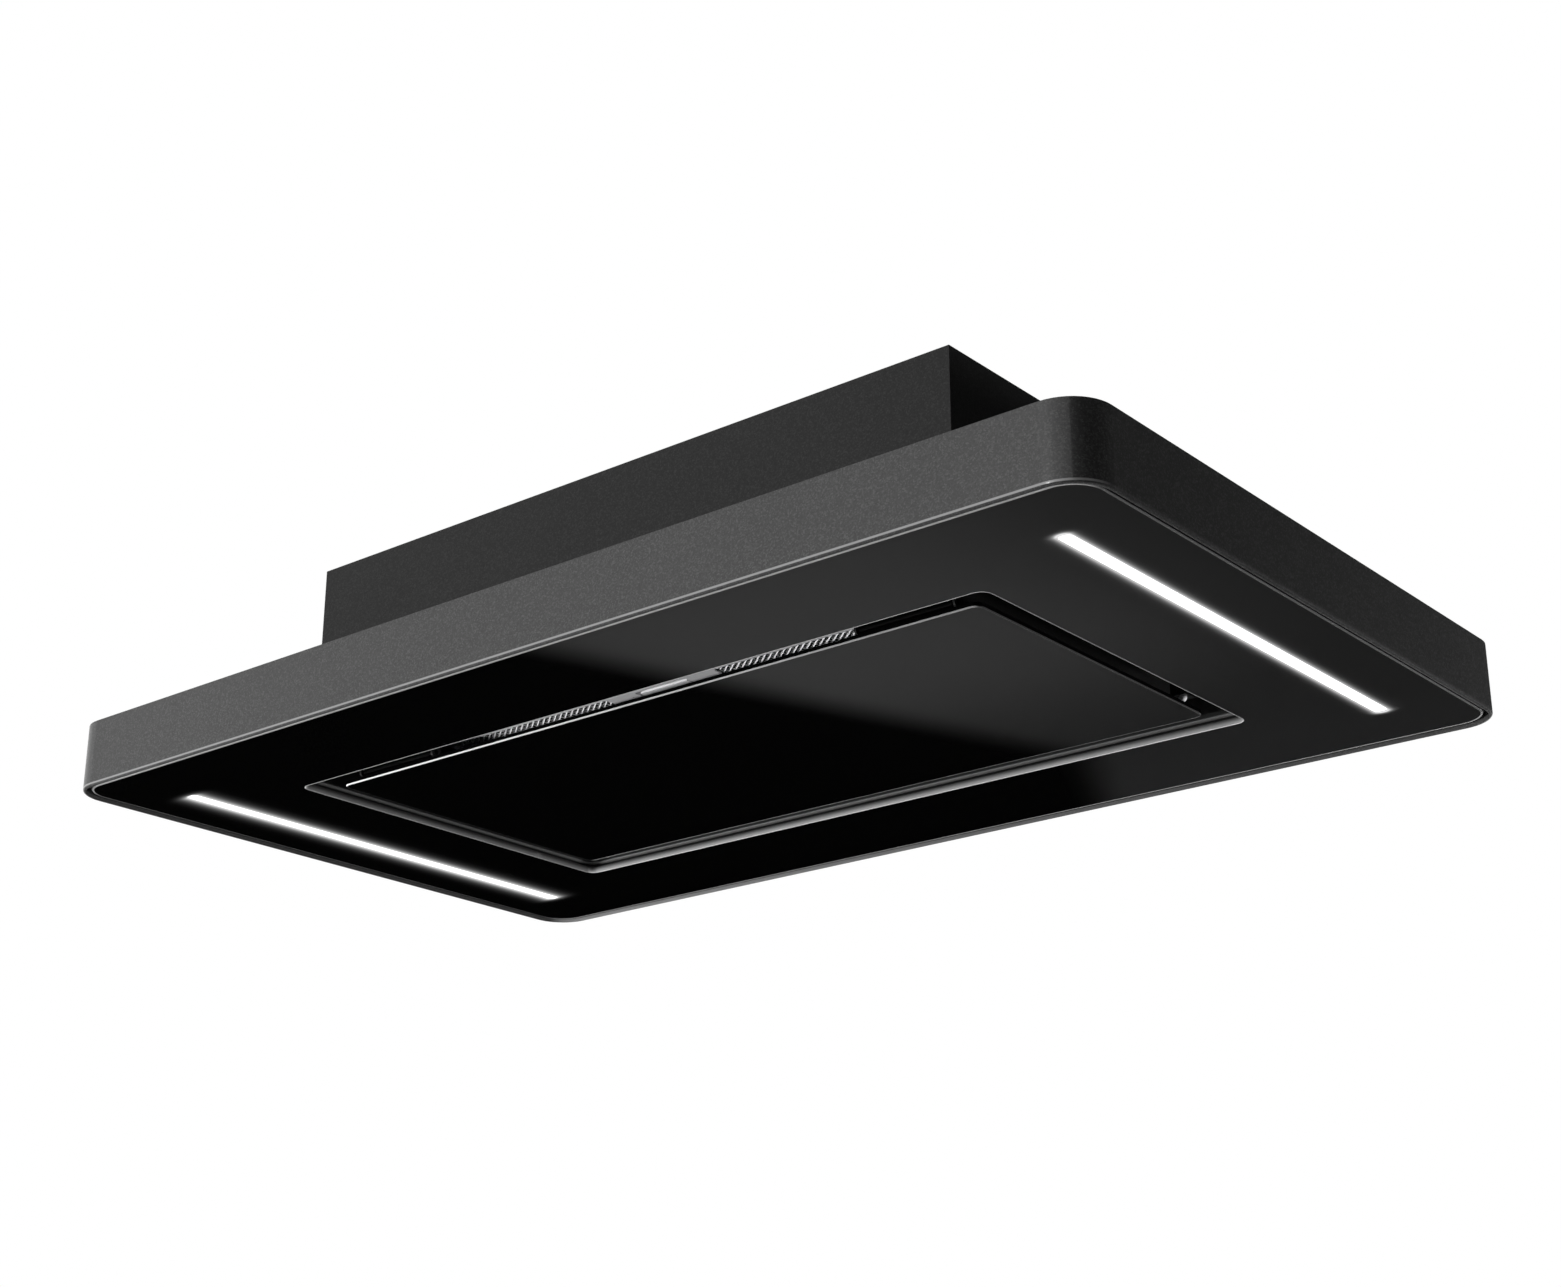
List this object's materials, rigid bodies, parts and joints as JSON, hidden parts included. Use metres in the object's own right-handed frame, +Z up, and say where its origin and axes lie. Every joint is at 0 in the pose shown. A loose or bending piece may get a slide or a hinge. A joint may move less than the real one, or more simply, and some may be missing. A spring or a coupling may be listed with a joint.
{
  "type": "ceiling range hood",
  "caption": "Slim ceiling range hood with a dark metal rim, black glass face, light strips, a hinged suction panel over a mesh filter, and a motor box above.",
  "frame": {"origin": "centre of the motor box's top face, which meets the ceiling, and of its ceiling bolt pattern", "axes": "+X along the hood's length, away from the duct outlet; +Y along its depth, from the side where the panel is hinged to the side where it opens; +Z up"},
  "size_m": [1.2, 0.7, 0.226],
  "materials": {
    "rim_paint": "anthracite with a fine metallic grain",
    "box_paint": "satin dark grey",
    "grey_paint": "satin dark grey",
    "black_paint": "satin black",
    "black_glass": "polished black",
    "black_seal": "matt",
    "tray_steel": "satin",
    "hinge_steel": "satin",
    "zinc_screw": "bright zinc",
    "bright_chrome": "polished",
    "black_nylon": "matt",
    "black_plastic": "matt",
    "white_plastic": "matt",
    "white_diffuser": "opal",
    "white_board": "matt",
    "green_board": "satin",
    "channel_aluminium": "satin",
    "filter_aluminium": "brushed",
    "mesh_aluminium": "expanded mesh",
    "flap_aluminium": "satin",
    "capacitor_can": "satin",
    "galvanised": "galvanised",
    "impeller_steel": "galvanised",
    "motor_paint": "satin grey"
  },
  "bodies": {
    "housing": {"rim_housing": "rim_paint", "top_plate": "grey_paint", "box_top": "box_paint", "box_near_wall": "box_paint", "box_far_wall": "box_paint", "box_left_wall": "box_paint", "box_right_wall": "box_paint", "bottom_glass": "black_glass", "glass_seal": "black_seal", "recess_walls": "black_paint", "glass_carrier": "black_paint", "filter_deck": "black_paint", "hinge_bracket_left": "black_paint", "hinge_bracket_right": "black_paint", "hinge_pins": "hinge_steel", "hinge_screws": "zinc_screw", "catch_sockets": "black_nylon", "led_diffuser_left": "white_diffuser", "led_diffuser_right": "white_diffuser", "led_channel_left": "channel_aluminium", "led_channel_right": "channel_aluminium", "led_board_left": "white_board", "led_board_right": "white_board", "led_driver": "white_plastic", "driver_screws": "zinc_screw", "filter_frame": "filter_aluminium", "filter_mesh": "mesh_aluminium", "scroll_body": "galvanised", "scroll_cover": "galvanised", "inlet_ring": "galvanised", "inlet_seal": "black_seal", "motor": "motor_paint", "blower_mounts": "black_seal", "blower_screws": "zinc_screw", "outlet_adaptor": "black_plastic", "duct_collar": "black_plastic", "damper_pin": "hinge_steel", "control_tray": "white_plastic", "control_cover": "white_plastic", "circuit_board": "green_board", "capacitor": "capacitor_can", "capacitor_clip": "galvanised", "cable_gland": "black_nylon", "gland_nut": "black_nylon", "box_screws": "zinc_screw"},
    "suction_panel_door": {"suction_panel": "black_glass", "drip_tray": "tray_steel", "hinge_leaf_left": "hinge_steel", "hinge_leaf_right": "hinge_steel", "ball_studs": "bright_chrome"},
    "impeller_rotor": {"impeller": "impeller_steel", "motor_shaft": "hinge_steel"},
    "damper_near": {"damper_flap_near": "flap_aluminium"},
    "damper_far": {"damper_flap_far": "flap_aluminium"},
    "filter_latch_slide": {"filter_latch": "bright_chrome"}
  },
  "joints": [
    {"name": "suction_panel_hinge", "type": "hinge", "parent": "housing", "child": "suction_panel_door", "pos_m": [0, -0.172, -0.2094], "axis": [-1, 0, 0], "range_deg": [0, 90]},
    {"name": "impeller_spin", "type": "hinge", "parent": "housing", "child": "impeller_rotor", "pos_m": [0.06, -0.04, -0.105], "axis": [0, 0, 1], "continuous": true},
    {"name": "damper_near_swing", "type": "hinge", "parent": "housing", "child": "damper_near", "pos_m": [-0.378, 0.0787, -0.08], "axis": [0, 0, -1], "range_deg": [0, 75], "stiffness_Nm_per_rad": 0.01, "springref_deg": -20.05},
    {"name": "damper_far_swing", "type": "hinge", "parent": "housing", "child": "damper_far", "pos_m": [-0.378, 0.0787, -0.08], "axis": [0, 0, 1], "range_deg": [0, 75], "stiffness_Nm_per_rad": 0.01, "springref_deg": -20.05},
    {"name": "filter_latch_travel", "type": "slide", "parent": "housing", "child": "filter_latch_slide", "axis": [0, 1, 0], "range_m": [0, 0.0065], "stiffness_N_per_m": 300, "springref_m": -0.01}
  ]
}
